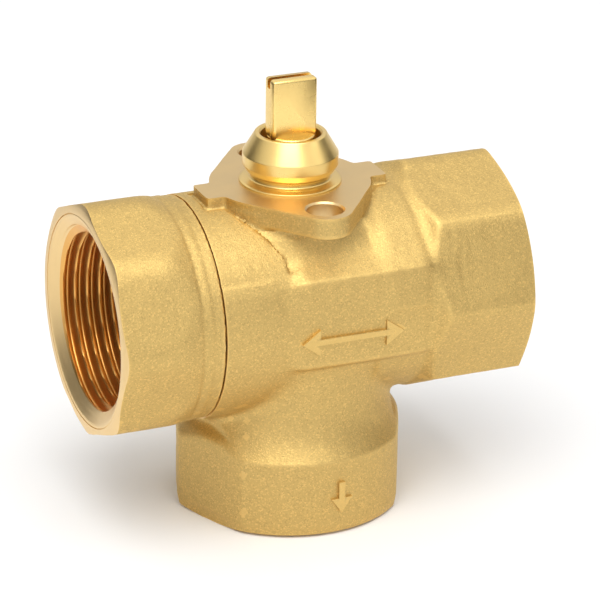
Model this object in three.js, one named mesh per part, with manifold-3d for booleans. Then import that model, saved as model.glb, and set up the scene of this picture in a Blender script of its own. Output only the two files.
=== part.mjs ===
// Three-way change-over ball zone valve, without its actuator.
// Millimetres. +X runs from port A to port B, +Y goes to the back, +Z points up along the stem.
// The origin is the centre of the bottom face of port AB.
import * as THREE from 'three';
import { mergeVertices } from 'three/addons/utils/BufferGeometryUtils.js';
import Module from 'manifold-3d';

const wasm = await Module();
wasm.setup();

// Driving dimensions
const AXIS_HEIGHT = 30.3;
const RUN_HALF = 30.3;
const THREAD_BORE_RADIUS = 12.06;
const THREAD_MOUTH_RADIUS = 14.2;
const THREAD_DEPTH = 15.5;
const PASSAGE_RADIUS = 8;
const CLEARANCE = 0.3;
const ROUND_STEPS = 40;
const RING_STEPS = 24;
const SECTION_STEPS = 6;
const FLANGE_ARC_STEPS = 10;
const SEAT_NOSE_STEPS = 48;
const BALL_STEPS = 32;
const BALL_BANDS = 20;
const WELD_DISTANCE = 1e-4;

// How far a cutting tool runs past what it cuts, and how far joined solids run into each other
const OVERSHOOT = 1;
const OVERLAP = 1;
const CUT_REACH = 20;

// Octagonal wrench ends
const OCTAGON_SIDES = 8;
const END_VERTEX_RADIUS = 17;
const END_FACE_RADIUS = 15.85;
const END_B_START = 15.5;
const END_A_START = -18.9;
const END_AB_VERTEX_RADIUS = 16.6;
const END_AB_FACE_RADIUS = 15.4;
const END_AB_HEIGHT = 12.2;
const EDGE_CHAMFER = 1.2;

// Body forging
const BARREL_RADIUS = 16.1;
const SEAM_X = -15.5;
const PAD_DEPTH = 15;
const PAD_LEFT_X = -5.5;
const RECESS_DEPTH = 11.6;
const RECESS_BOTTOM = 7.2;
const RECESS_RIGHT_X = 14;
const NECK_AB_RADIUS = 13.6;
const BOSS_RADIUS = 11;

// Actuator flange, heights measured from the run axis
const FLANGE_TOP = 16.45;
const FLANGE_THICKNESS = 3;
const LOBE_SPACING = 12.3;
const LOBE_RADIUS = 3.6;
const FLANGE_RADIUS = 11.1;
const TAB_REACH = 13.3;
const TAB_HALF_WIDTH = 2.8;
const FLANGE_HOLE_SPACING = 12.3;
const FLANGE_HOLE_RADIUS = 2.5;
const FLANGE_HOLE_DEPTH = 3.6;
const FLANGE_HOLE_CHAMFER = 0.4;

// Stem housing neck, heights measured from the run axis
const NECK_TOP = 23.5;
const NECK_BORE_RADIUS = 4.13;
const NECK_RIM_RADIUS = 4.95;
const NECK_BELT_RADIUS = 6.62;
const NECK_BELT_TOP = 20.64;
const NECK_BELT_BOTTOM = 19.2;
const NECK_GROOVE_RADIUS = 5.5;
const NECK_GROOVE_TOP = 17.85;
const NECK_GROOVE_BOTTOM = 17.35;
const NECK_BASE_RADIUS = 7.06;
const NECK_BASE_TOP = 16.85;

// Ball chamber and what it holds
const CHAMBER_RADIUS = 13.3;
const SOCKET_RADIUS = 14.4;
const SOCKET_FLOOR = -9.5;
const BALL_RADIUS = 12;
const BALL_PORT_RADIUS = 7;
const BALL_SLOT_HALF_WIDTH = 2.1;
const BALL_SLOT_FLOOR = 9;
const SEAT_INNER_RADIUS = 7.6;
const SEAT_OUTER_RADIUS = 11;
const SEAT_BACK_X = 11.4;
const SEAT_NOSE_X = 8.1;
const SEAT_TIP_X = 6.3;
const SEAT_POCKET_RADIUS = 11.3;
const SEAT_POCKET_FLOOR = 13.4;
const SEAT_RING_SECTION = 0.65;
const SEAT_RING_RADIUS = 9.6;

// Stem, heights measured from the run axis
const STEM_RADIUS = 3.8;
const STEM_TOP = 31.4;
const STEM_STEP_BOTTOM = 21;
const STEM_STEP_TOP = 21.4;
const STEM_TIP_RADIUS = 3.35;
const STEM_TIP_CHAMFER = 0.3;
const STEM_SHOULDER_TOP = 23.3;
const STEM_COLLAR_RADIUS = 5.5;
const STEM_COLLAR_BOTTOM = 12.4;
const STEM_COLLAR_TOP = 13.5;
const WASHER_RADIUS = 5.5;
const WASHER_THICKNESS = 0.5;
const POCKET_RADIUS = 5.8;
const TANG_HALF_WIDTH = 3.25;
const TANG_HALF_THICKNESS = 1.55;
const TANG_CHAMFER = 0.4;
const TANG_CAP_DEPTH = 0.001;
const TANG_SLOT_Y = 0.12;
const TANG_SLOT_WIDTH = 0.9;
const TANG_SLOT_DEPTH = 1.35;
const DRIVE_HALF_LENGTH = 4.6;
const DRIVE_HALF_WIDTH = 1.8;
const STEM_RING_SECTION = 0.55;
const STEM_RING_HEIGHTS = [16.6, 19.6];
const STEM_RING_RADIUS = 3.3;
const STEM_GROOVE_RADIUS = 2.45;
const STEM_GROOVE_HALF_WIDTH = 0.85;

// Socket joint between body and end connector
const SPIGOT_RADIUS = 14.1;
const CONNECTOR_COLLAR_RADIUS = 16.2;
const JOINT_RING_SECTION = 0.6;
const JOINT_RING_RADIUS = 13.4;
const JOINT_RING_X = -13.9;
const JOINT_GROOVE_RADIUS = 12.5;
const JOINT_GROOVE_HALF_WIDTH = 0.9;

// ---- Solids: closed three.js geometry turned into manifold solids and back ----

function signedVolume(positions, indices) {
  const corners = [0, 1, 2].map(() => new THREE.Vector3());
  let total = 0;
  for (let i = 0; i < indices.length; i += 3) {
    corners.forEach((corner, k) => corner.fromArray(positions, 3 * indices[i + k]));
    total += corners[0].dot(corners[1].clone().cross(corners[2]));
  }
  return total;
}

function solid(geometry) {
  const bare = geometry.clone();
  bare.deleteAttribute('normal');
  bare.deleteAttribute('uv');
  const merged = mergeVertices(bare, WELD_DISTANCE);
  const positions = merged.attributes.position.array;
  const source = merged.index.array;
  const kept = [];
  for (let i = 0; i < source.length; i += 3) {
    const [a, b, c] = [source[i], source[i + 1], source[i + 2]];
    if (a !== b && b !== c && c !== a) {
      kept.push(a, b, c);
    }
  }
  if (signedVolume(positions, kept) < 0) {
    kept.reverse();
  }
  const mesh = new wasm.Mesh({
    numProp: 3,
    vertProperties: new Float32Array(positions),
    triVerts: new Uint32Array(kept),
  });
  return new wasm.Manifold(mesh);
}

function geometryOf(shape) {
  const mesh = shape.getMesh();
  const geometry = new THREE.BufferGeometry();
  geometry.setAttribute('position', new THREE.BufferAttribute(new Float32Array(mesh.vertProperties), 3));
  geometry.setIndex(new THREE.BufferAttribute(new Uint32Array(mesh.triVerts), 1));
  geometry.computeVertexNormals();
  return geometry;
}

function join(...shapes) {
  return shapes.reduce((whole, next) => whole.add(next));
}

function cut(shape, ...tools) {
  return tools.reduce((rest, tool) => rest.subtract(tool), shape);
}

// A body of revolution. Profile points are [radius, distance along the axis].
function turned(profile, axis, steps = ROUND_STEPS) {
  const points = profile.map(([radius, along]) => new THREE.Vector2(radius, along));
  const geometry = new THREE.LatheGeometry(points, steps);
  return solid(alongAxis(geometry, axis));
}

function alongAxis(geometry, axis) {
  if (axis === 'x') {
    return geometry.rotateZ(-Math.PI / 2);
  }
  return geometry.rotateX(Math.PI / 2);
}

function rod(radius, start, end, axis, steps = ROUND_STEPS) {
  return turned([[0, start], [radius, start], [radius, end], [0, end]], axis, steps);
}

function ring(inner, outer, start, end, axis, steps = RING_STEPS) {
  const profile = [[inner, start], [outer, start], [outer, end], [inner, end], [inner, start]];
  return turned(profile, axis, steps);
}

function ballSolid(radius, steps, bands = steps / 2) {
  return solid(new THREE.SphereGeometry(radius, steps, bands).rotateX(Math.PI / 2));
}

function oRing(radius, section, along, axis) {
  const profile = [];
  for (let i = 0; i < SECTION_STEPS; i += 1) {
    const angle = (i / SECTION_STEPS) * 2 * Math.PI;
    profile.push([radius + section * Math.cos(angle), along + section * Math.sin(angle)]);
  }
  profile.push(profile[0]);
  return turned(profile, axis, RING_STEPS);
}

function block(low, high) {
  const size = high.map((value, k) => value - low[k]);
  const geometry = new THREE.BoxGeometry(...size);
  geometry.translate(...low.map((value, k) => value + size[k] / 2));
  return solid(geometry);
}

function lift(shape, height = AXIS_HEIGHT) {
  return shape.translate([0, 0, height]);
}

// ---- Shared forms ----

// An octagonal wrench end with its ridges on the row axes and both ends turned to a chamfer.
function wrenchEnd(vertexRadius, faceRadius, start, end, axis) {
  const middle = (start + end) / 2;
  const length = end - start;
  const geometry = new THREE.CylinderGeometry(vertexRadius, vertexRadius, length, OCTAGON_SIDES);
  geometry.translate(0, middle, 0);
  const prism = solid(alongAxis(geometry, axis));
  const chamfered = turned(
    [
      [0, start],
      [faceRadius, start],
      [faceRadius + EDGE_CHAMFER, start + EDGE_CHAMFER],
      [faceRadius + EDGE_CHAMFER, end - EDGE_CHAMFER],
      [faceRadius, end],
      [0, end],
    ],
    axis,
  );
  return prism.intersect(chamfered);
}

// A threaded socket: plain bore at the thread's minor diameter with a countersunk mouth.
function threadedSocket(mouth, direction, axis) {
  const outside = mouth + direction * OVERSHOOT;
  const sinkDepth = THREAD_MOUTH_RADIUS - THREAD_BORE_RADIUS;
  const points = [
    [0, outside],
    [THREAD_MOUTH_RADIUS + OVERSHOOT, outside],
    [THREAD_BORE_RADIUS, mouth - direction * sinkDepth],
    [THREAD_BORE_RADIUS, mouth - direction * THREAD_DEPTH],
    [0, mouth - direction * THREAD_DEPTH],
  ];
  return turned(points, axis);
}

function flangeOutline() {
  const outline = new THREE.Shape();
  const lean = Math.asin((FLANGE_RADIUS - LOBE_RADIUS) / LOBE_SPACING);
  outline.absarc(0, 0, FLANGE_RADIUS, -lean, lean, false);
  outline.absarc(0, LOBE_SPACING, LOBE_RADIUS, lean, Math.PI - lean, false);
  outline.absarc(0, 0, FLANGE_RADIUS, Math.PI - lean, Math.PI + lean, false);
  outline.absarc(0, -LOBE_SPACING, LOBE_RADIUS, Math.PI + lean, 2 * Math.PI - lean, false);
  return outline;
}

// ---- Sub-parts ----

function valveBody() {
  const barrel = rod(BARREL_RADIUS, SEAM_X, END_B_START + OVERLAP, 'x');
  const padCuts = [-1, 1].flatMap((side) => {
    const outside = side * CUT_REACH;
    const faces = [side * PAD_DEPTH, outside].sort((a, b) => a - b);
    const recess = [side * RECESS_DEPTH, outside].sort((a, b) => a - b);
    return [
      block([PAD_LEFT_X, faces[0], -CUT_REACH], [END_B_START, faces[1], CUT_REACH]),
      block([PAD_LEFT_X, recess[0], RECESS_BOTTOM], [RECESS_RIGHT_X, recess[1], CUT_REACH]),
    ];
  });
  const run = lift(cut(barrel, ...padCuts));

  const boss = lift(rod(BOSS_RADIUS, 0, FLANGE_TOP - FLANGE_THICKNESS + OVERLAP, 'z'));
  const flange = lift(actuatorFlange());
  const neck = lift(stemNeck());

  const endB = lift(wrenchEnd(END_VERTEX_RADIUS, END_FACE_RADIUS, END_B_START, RUN_HALF, 'x'));
  const endAb = outletEnd();
  const neckAb = rod(NECK_AB_RADIUS, END_AB_HEIGHT - OVERLAP, AXIS_HEIGHT, 'z');

  const outside = join(run, boss, flange, neck, endB, endAb, neckAb);
  return cut(outside, bodyHollow());
}

function actuatorFlange() {
  const plate = new THREE.ExtrudeGeometry(flangeOutline(), {
    depth: FLANGE_THICKNESS,
    bevelEnabled: false,
    curveSegments: FLANGE_ARC_STEPS,
  });
  plate.translate(0, 0, FLANGE_TOP - FLANGE_THICKNESS);
  const tabs = block(
    [-TAB_REACH, -TAB_HALF_WIDTH, FLANGE_TOP - FLANGE_THICKNESS],
    [TAB_REACH, TAB_HALF_WIDTH, FLANGE_TOP],
  );
  const holes = [-1, 1].map((side) => flangeHole().translate([0, side * FLANGE_HOLE_SPACING, 0]));
  return cut(join(solid(plate), tabs), ...holes);
}

function flangeHole() {
  const mouth = FLANGE_HOLE_RADIUS + FLANGE_HOLE_CHAMFER;
  return turned(
    [
      [0, FLANGE_TOP - FLANGE_HOLE_DEPTH],
      [FLANGE_HOLE_RADIUS, FLANGE_TOP - FLANGE_HOLE_DEPTH],
      [FLANGE_HOLE_RADIUS, FLANGE_TOP - FLANGE_HOLE_CHAMFER],
      [mouth + OVERSHOOT, FLANGE_TOP + OVERSHOOT],
      [0, FLANGE_TOP + OVERSHOOT],
    ],
    'z',
    RING_STEPS,
  );
}

function stemNeck() {
  return turned(
    [
      [0, FLANGE_TOP - OVERLAP],
      [NECK_BASE_RADIUS, FLANGE_TOP - OVERLAP],
      [NECK_BASE_RADIUS, NECK_BASE_TOP],
      [NECK_GROOVE_RADIUS, NECK_GROOVE_BOTTOM],
      [NECK_GROOVE_RADIUS, NECK_GROOVE_TOP],
      [NECK_BELT_RADIUS, NECK_BELT_BOTTOM],
      [NECK_BELT_RADIUS, NECK_BELT_TOP],
      [NECK_RIM_RADIUS, NECK_TOP],
      [0, NECK_TOP],
    ],
    'z',
  );
}

// The bottom outlet: an octagon whose front and back sectors are left round.
function outletEnd() {
  const octagon = wrenchEnd(END_AB_VERTEX_RADIUS, END_AB_FACE_RADIUS, 0, END_AB_HEIGHT, 'z');
  const round = turned(
    [
      [0, 0],
      [END_AB_FACE_RADIUS, 0],
      [END_AB_VERTEX_RADIUS, EDGE_CHAMFER],
      [END_AB_VERTEX_RADIUS, END_AB_HEIGHT - EDGE_CHAMFER],
      [END_AB_FACE_RADIUS, END_AB_HEIGHT],
      [0, END_AB_HEIGHT],
    ],
    'z',
  );
  const sector = END_AB_VERTEX_RADIUS * Math.SQRT1_2;
  const slab = block([-sector, -CUT_REACH, -OVERSHOOT], [sector, CUT_REACH, END_AB_HEIGHT + OVERSHOOT]);
  return octagon.add(round.intersect(slab));
}

function bodyHollow() {
  const chamber = turned(
    [
      [0, SEAM_X - OVERSHOOT],
      [SOCKET_RADIUS, SEAM_X - OVERSHOOT],
      [SOCKET_RADIUS, SOCKET_FLOOR],
      [CHAMBER_RADIUS, SOCKET_FLOOR],
      [CHAMBER_RADIUS, SEAT_NOSE_X],
      [SEAT_POCKET_RADIUS, SEAT_NOSE_X],
      [SEAT_POCKET_RADIUS, SEAT_POCKET_FLOOR],
      [PASSAGE_RADIUS, SEAT_POCKET_FLOOR],
      [PASSAGE_RADIUS, RUN_HALF - THREAD_DEPTH + OVERLAP],
      [0, RUN_HALF - THREAD_DEPTH + OVERLAP],
    ],
    'x',
  );
  const portB = threadedSocket(RUN_HALF, 1, 'x');
  const portAb = threadedSocket(0, -1, 'z');
  const outletPassage = rod(PASSAGE_RADIUS, THREAD_DEPTH - OVERLAP, AXIS_HEIGHT, 'z');
  const stemBore = rod(NECK_BORE_RADIUS, 0, NECK_TOP + OVERSHOOT, 'z');
  const pocketTop = STEM_COLLAR_TOP + WASHER_THICKNESS + 2 * CLEARANCE;
  const collarPocket = rod(POCKET_RADIUS, 0, pocketTop, 'z');
  return join(lift(chamber), lift(portB), portAb, outletPassage, lift(stemBore), lift(collarPocket));
}

function endConnector() {
  const octagon = wrenchEnd(END_VERTEX_RADIUS, END_FACE_RADIUS, -RUN_HALF, END_A_START, 'x');
  const collarEnd = SEAM_X - CLEARANCE;
  const spigotEnd = SOCKET_FLOOR - CLEARANCE;
  const collar = rod(CONNECTOR_COLLAR_RADIUS, END_A_START - OVERLAP, collarEnd, 'x');
  const spigot = rod(SPIGOT_RADIUS, END_A_START, spigotEnd, 'x');
  const groove = ring(
    JOINT_GROOVE_RADIUS,
    SPIGOT_RADIUS + OVERSHOOT,
    JOINT_RING_X - JOINT_GROOVE_HALF_WIDTH,
    JOINT_RING_X + JOINT_GROOVE_HALF_WIDTH,
    'x',
  );
  const port = threadedSocket(-RUN_HALF, -1, 'x');
  const passageStart = -RUN_HALF + THREAD_DEPTH - OVERLAP;
  const passage = rod(PASSAGE_RADIUS, passageStart, spigotEnd + OVERSHOOT, 'x');
  const pocket = rod(SEAT_POCKET_RADIUS, -SEAT_POCKET_FLOOR, spigotEnd + OVERSHOOT, 'x');
  return lift(cut(join(octagon, collar, spigot), groove, port, passage, pocket));
}

// The ball: one opening down, and two side openings a quarter turn apart.
function changeoverBall() {
  const sphere = ballSolid(BALL_RADIUS, BALL_STEPS, BALL_BANDS);
  const down = rod(BALL_PORT_RADIUS, -BALL_RADIUS - OVERSHOOT, 0, 'z', RING_STEPS);
  const toPortA = rod(BALL_PORT_RADIUS, -BALL_RADIUS - OVERSHOOT, 0, 'x', RING_STEPS);
  const toFront = toPortA.rotate([0, 0, 90]);
  const hub = ballSolid(BALL_PORT_RADIUS, RING_STEPS);
  const slot = block(
    [-BALL_RADIUS, -BALL_SLOT_HALF_WIDTH, BALL_SLOT_FLOOR],
    [BALL_RADIUS, BALL_SLOT_HALF_WIDTH, BALL_RADIUS + OVERSHOOT],
  );
  return lift(cut(sphere, down, toPortA, toFront, hub, slot));
}

// A soft seat whose nose is hollowed to the ball.
function seatRing(side) {
  const plain = ring(SEAT_INNER_RADIUS, SEAT_OUTER_RADIUS, SEAT_TIP_X, SEAT_BACK_X, 'x');
  const hollow = ballSolid(BALL_RADIUS + CLEARANCE, SEAT_NOSE_STEPS);
  const seat = plain.subtract(hollow);
  return lift(side > 0 ? seat : seat.rotate([0, 0, 180]));
}

function seatBackRing(side) {
  const middle = (SEAT_BACK_X + SEAT_POCKET_FLOOR) / 2;
  return lift(oRing(SEAT_RING_RADIUS, SEAT_RING_SECTION, side * middle, 'x'));
}

function jointRing() {
  return lift(oRing(JOINT_RING_RADIUS, JOINT_RING_SECTION, JOINT_RING_X, 'x'));
}

function stem() {
  const shaft = turned(
    [
      [0, STEM_COLLAR_BOTTOM],
      [STEM_COLLAR_RADIUS, STEM_COLLAR_BOTTOM],
      [STEM_COLLAR_RADIUS, STEM_COLLAR_TOP],
      [STEM_RADIUS, STEM_COLLAR_TOP],
      [STEM_RADIUS, STEM_STEP_BOTTOM],
      [STEM_TIP_RADIUS, STEM_STEP_TOP],
      [STEM_TIP_RADIUS, STEM_SHOULDER_TOP - STEM_TIP_CHAMFER],
      [STEM_TIP_RADIUS - STEM_TIP_CHAMFER, STEM_SHOULDER_TOP],
      [0, STEM_SHOULDER_TOP],
    ],
    'z',
  );
  const grooves = STEM_RING_HEIGHTS.map((height) =>
    ring(
      STEM_GROOVE_RADIUS,
      STEM_RADIUS + OVERSHOOT,
      height - STEM_GROOVE_HALF_WIDTH,
      height + STEM_GROOVE_HALF_WIDTH,
      'z',
    ),
  );
  const drive = block(
    [-DRIVE_HALF_LENGTH, -DRIVE_HALF_WIDTH, BALL_SLOT_FLOOR + CLEARANCE],
    [DRIVE_HALF_LENGTH, DRIVE_HALF_WIDTH, STEM_COLLAR_BOTTOM + OVERLAP],
  );
  return lift(join(cut(shaft, ...grooves), drive, driveTang()));
}

// The flat tang that the actuator turns, with a slot in its top that shows the ball's position.
function driveTang() {
  const outline = new THREE.Shape();
  const [w, t, c] = [TANG_HALF_WIDTH, TANG_HALF_THICKNESS, TANG_CHAMFER];
  outline.moveTo(w - c, -t);
  outline.lineTo(w, -t + c);
  outline.lineTo(w, t - c);
  outline.lineTo(w - c, t);
  outline.lineTo(-w + c, t);
  outline.lineTo(-w, t - c);
  outline.lineTo(-w, -t + c);
  outline.lineTo(-w + c, -t);
  const foot = STEM_SHOULDER_TOP - OVERLAP;
  const bar = new THREE.ExtrudeGeometry(outline, {
    depth: STEM_TOP - TANG_CHAMFER - foot,
    bevelEnabled: false,
  });
  bar.translate(0, 0, foot);
  const cap = new THREE.ExtrudeGeometry(outline, {
    depth: TANG_CAP_DEPTH,
    bevelThickness: TANG_CHAMFER,
    bevelSize: TANG_CHAMFER,
    bevelOffset: -TANG_CHAMFER,
    bevelSegments: 1,
  });
  cap.translate(0, 0, STEM_TOP - TANG_CHAMFER);
  const slot = block(
    [-w - OVERSHOOT, TANG_SLOT_Y - TANG_SLOT_WIDTH / 2, STEM_TOP - TANG_SLOT_DEPTH],
    [w + OVERSHOOT, TANG_SLOT_Y + TANG_SLOT_WIDTH / 2, STEM_TOP + OVERSHOOT],
  );
  return solid(bar).add(solid(cap)).subtract(slot);
}

function stemRing(height) {
  return lift(oRing(STEM_RING_RADIUS, STEM_RING_SECTION, height, 'z'));
}

function thrustWasher() {
  const bottom = STEM_COLLAR_TOP + CLEARANCE;
  return lift(ring(STEM_RADIUS + CLEARANCE, WASHER_RADIUS, bottom, bottom + WASHER_THICKNESS, 'z'));
}

// ---- Materials and assembly ----

const FORGED_BRASS = { color: 0xcfa85e, roughness: 0.5, metalness: 1 };
const TURNED_BRASS = { color: 0xe0bf6c, roughness: 0.25, metalness: 1 };
const CHROMED_BRASS = { color: 0xd8dadc, roughness: 0.1, metalness: 1 };
const WHITE_PTFE = { color: 0xf0efea, roughness: 0.45, metalness: 0 };
const BLACK_RUBBER = { color: 0x151515, roughness: 0.8, metalness: 0 };

const group = new THREE.Group();

function place(name, shape, look) {
  const mesh = new THREE.Mesh(geometryOf(shape), new THREE.MeshStandardMaterial(look));
  mesh.name = name;
  group.add(mesh);
}

place('valve_body', valveBody(), FORGED_BRASS);
place('end_connector', endConnector(), FORGED_BRASS);
place('connector_o_ring', jointRing(), BLACK_RUBBER);
place('ball', changeoverBall(), CHROMED_BRASS);
place('seat_ring_a', seatRing(-1), WHITE_PTFE);
place('seat_ring_b', seatRing(1), WHITE_PTFE);
place('seat_o_ring_a', seatBackRing(-1), BLACK_RUBBER);
place('seat_o_ring_b', seatBackRing(1), BLACK_RUBBER);
place('stem', stem(), TURNED_BRASS);
place('thrust_washer', thrustWasher(), WHITE_PTFE);
place('stem_o_ring_lower', stemRing(STEM_RING_HEIGHTS[0]), BLACK_RUBBER);
place('stem_o_ring_upper', stemRing(STEM_RING_HEIGHTS[1]), BLACK_RUBBER);

export default group;
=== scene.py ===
"""A three-way zone valve in forged brass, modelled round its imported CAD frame.

Every piece is shaped in millimetres, with heights measured from the run axis, and is
put into the row frame, in metres, when it is finished.
"""

import math

import bmesh
import bpy
import numpy as np
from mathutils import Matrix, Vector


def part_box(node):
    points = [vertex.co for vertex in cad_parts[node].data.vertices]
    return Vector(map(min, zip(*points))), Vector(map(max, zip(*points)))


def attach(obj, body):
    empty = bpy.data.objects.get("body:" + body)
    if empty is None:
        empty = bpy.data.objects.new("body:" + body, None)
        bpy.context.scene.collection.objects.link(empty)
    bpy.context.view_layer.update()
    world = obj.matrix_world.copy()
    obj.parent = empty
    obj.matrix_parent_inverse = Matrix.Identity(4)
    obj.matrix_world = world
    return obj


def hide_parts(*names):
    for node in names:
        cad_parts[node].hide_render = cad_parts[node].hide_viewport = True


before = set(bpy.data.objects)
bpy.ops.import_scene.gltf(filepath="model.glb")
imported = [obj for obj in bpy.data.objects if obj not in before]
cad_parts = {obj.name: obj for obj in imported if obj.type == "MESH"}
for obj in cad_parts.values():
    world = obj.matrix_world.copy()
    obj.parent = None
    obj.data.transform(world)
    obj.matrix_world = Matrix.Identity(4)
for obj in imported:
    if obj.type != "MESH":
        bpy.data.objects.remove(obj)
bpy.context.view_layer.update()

import openvdb
from bpy.props import FloatProperty, FloatVectorProperty, IntProperty, PointerProperty
from mathutils import Matrix, Vector

bl_info = {
    "name": "Three-way zone valve",
    "version": (1, 0, 0),
    "blender": (4, 5, 0),
    "location": "3D View > Sidebar > Valve",
    "description": "Builds the forged body, connector, stem, ball and seals of a zone valve",
    "category": "Add Mesh",
}

MM = 0.001

# ---- Places taken from the frame, in millimetres, heights from the run axis ----


def node_box(name):
    """The low and high corner of a CAD node, in millimetres from the floor."""
    low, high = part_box(name)
    return low / MM, high / MM


BODY_HIGH = node_box("valve_body")[1]
CONNECTOR_LOW, CONNECTOR_HIGH = node_box("end_connector")
STEM_LOW, STEM_HIGH = node_box("stem")
AXIS = (CONNECTOR_LOW.z + CONNECTOR_HIGH.z) / 2
RUN_HALF = BODY_HIGH.x
RIDGE_RADIUS = BODY_HIGH.y
NECK_TOP = BODY_HIGH.z - AXIS
STEM_TOP = STEM_HIGH.z - AXIS
DRIVE_BOTTOM = STEM_LOW.z - AXIS
SPIGOT_END = CONNECTOR_HIGH.x

# ---- Fixed sizes of the design, in millimetres ----

# Fits
GAP = 0.3
SPARE = 1
GRID_MARGIN = 2
SIDE_MARGIN = 1.2

# Octagonal ends and their faces
FLAT_DISTANCE = 15.88
RIDGE_EDGE = 0.4
END_B_START = 15.5
END_B_CONE_RADIUS = 15.5
END_B_LOWEST_FLAT = 15.1
END_A_START = -18.9
END_A_RIDGE_RADIUS = 16.7
END_A_CONE_RADIUS = 15.75
END_A_CONE_SLOPE = 0.3
END_A_LOWEST_FLAT = 15.6
FACE_RADIUS = 15.8
FACE_CHAMFER = 0.4
FACE_OVERHANG = 0.5
FACING_REACH = 22
AB_HEIGHT = 12.2
AB_RIDGE_RADIUS = 16.25
AB_FLAT_DISTANCE = 15.15
AB_FACE_RADIUS = 15.25
AB_CONE_RADIUS = 15.0
AB_NECK_FOOT = 4

# Threads and passages
THREAD_MINOR = 12.06
THREAD_MAJOR = 13.22
THREAD_SLICES = 18
THREAD_ROUNDNESS = 0.75
THREAD_RUNOUT = 0.6
SINK_RADIUS = 14.45
SINK_DEPTH = 1.35
PASSAGE_RADIUS = 8
CHAMBER_BORE = 13.3
SOCKET_BORE = 14.4
SOCKET_CHAMFER = 0.35
SOCKET_RELIEF = 2.4
SOCKET_FLOOR = -9.5
SEAT_POCKET_RADIUS = 11.3
SEAT_POCKET_FLOOR = 13.4
STEM_BORE = 4.13
COLLAR_POCKET_RADIUS = 5.8
COLLAR_POCKET_TOP = 14.6

# Joint of the body and the end connector
SEAM_X = -15.5
SEAM_GAP = 0.1
COLLAR_RADIUS = 15.5
COLLAR_START = -18.4
CORE_RADIUS = 15.55
RING_GROOVE_RADIUS = 12.5
RING_GROOVE_START = -14.8
RING_GROOVE_END = -13

# Flange
FLANGE_TOP = 16.45
FLANGE_THICKNESS = 3
FLANGE_RADIUS = 11.1
LOBE_SPACING = 12.3
LOBE_RADIUS = 3.6
TAB_REACH = 13.3
TAB_HALF_WIDTH = 2.8
PLANE_HALF_WIDTH = 22
PLANE_HEIGHT = 6
HOLE_SPACING = 11.95
HOLE_RADIUS = 2.5
HOLE_DEPTH = 3.6
HOLE_CHAMFER = 0.25
HOLE_MOUTH = 0.5

# Marking pads, and the slope that joins each to the waist as its tangent
PAD_LEFT_X = -5.5
PAD_MIDDLE_X = 5
PAD_HALF_LENGTH = 11
PAD_BOTTOM = -5.6
PAD_TOP = 11.5
PAD_PROUD = 0.05
RIDGE_LEAN = 0.595

# Web between the flange and port B, and the waist's ring beside it
WEB_X = 11.8
WEB_HALF_LENGTH = 3.2
WEB_BOTTOM = 2
WEB_INSET = 0.7
CORE_RING_RADIUS = 15.1
CORE_RING_X = 13
CORE_RING_HALF_LENGTH = 5
WAIST_OVERLAP = 2

# Boss under the flange, and the barrel beside the joint
BOSS_Z = 10
BOSS_HALF_HEIGHT = 5
BOSS_FILLET = 2.8
BARREL_INSET = 0.6
BARREL_BOTTOM = 6
EASE_START = -10.5
EASE_LENGTH = 9
LOWER_TOP = 7.5

# Neck
NECK_BASE_RADIUS = 7.06
NECK_GROOVE_RADIUS = 5.5
NECK_BELT_RADIUS = 6.62
NECK_BELT_BOTTOM = 19.1
NECK_BELT_TOP = 20.64
NECK_RIM_RADIUS = 4.98

# Stem
STEM_RADIUS = 3.8
STEM_STEP_BOTTOM = 21.0
STEM_STEP_TOP = 21.4
STEM_TIP_RADIUS = 3.35
STEM_SHOULDER_TOP = 23.3
STEM_COLLAR_RADIUS = 5.5
STEM_COLLAR_BOTTOM = 12.4
STEM_COLLAR_TOP = 13.5
STEM_GROOVE_HEIGHTS = (16.6, 19.6)
STEM_GROOVE_RADIUS = 2.45
STEM_GROOVE_HALF_WIDTH = 0.85
STEM_GROOVE_OUTSIDE = 4.5
TANG_HALF_WIDTH = 3.25
TANG_HALF_THICKNESS = 1.55
TANG_FOOT = 22.2
TANG_EDGE = 0.42
TANG_SLOT_BACK = 0.57
TANG_SLOT_FRONT = -0.33
TANG_SLOT_DEPTH = 1.35
BLADE_HALF_LENGTH = 4.6
BLADE_HALF_WIDTH = 1.8
BLADE_TOP = 12.9
BLADE_EDGE = 0.25

# Ball, seats and washer
BALL_RADIUS = 12
BALL_PORT_RADIUS = 7
BALL_PORT_FLARE = 1.4
BALL_SLOT_HALF_WIDTH = 2.1
BALL_SLOT_FLOOR = 9
BALL_STEPS = 96
BALL_ROWS = 60
BORE_STEPS = 72
HUB_ROWS = 24
SEAT_NOSE_X = 8.1
SEAT_BACK_X = 11.4
SEAT_INNER_RADIUS = 7.6
SEAT_OUTER_RADIUS = 11.0
SEAT_EDGE = 0.3
SEAT_NOSE_ROWS = 12
SEAT_STEPS = 120
WASHER_BORE = 4.1
RING_STEPS = 96
RING_SECTION_STEPS = 20

# Flow arrows
RUN_ARROW_CENTRE = (3.0, -1.4)
RUN_ARROW_LENGTH = 15.0
RUN_ARROW_HEAD = 2.6
OUTLET_ARROW_CENTRE = (1.2, -24.6)
OUTLET_ARROW_LENGTH = 4.6
OUTLET_ARROW_HEAD = 2.2
ARROW_WIDTH = 0.95
ARROW_BARB = 0.72
ARROW_BACK = -14
ARROW_FRONT = -19

# Studio, in metres
KEY_PLACE = (-0.12, -0.25, 0.55)
KEY_SIZE = 0.5
FILL_PLACE = (0.5, -0.35, 0.22)
FILL_SIZE = 0.35
FLAG_DISTANCE = 0.17
FLAG_HALF_WIDTH = 0.12
FLAG_FOOT = 0.02
FLAG_HEIGHT = 0.1
FLOOR_HALF = 6.0
FLOOR_DROP = 0.00002
HORIZON_GREY = 0.45
SKY_WHITE_FROM = 0.6


# ---- Settings a user would change ----


def in_mm(name, description, millimetres):
    """A length that a user may change."""
    return FloatProperty(
        name=name, description=description, default=millimetres * MM, unit="LENGTH"
    )


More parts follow.
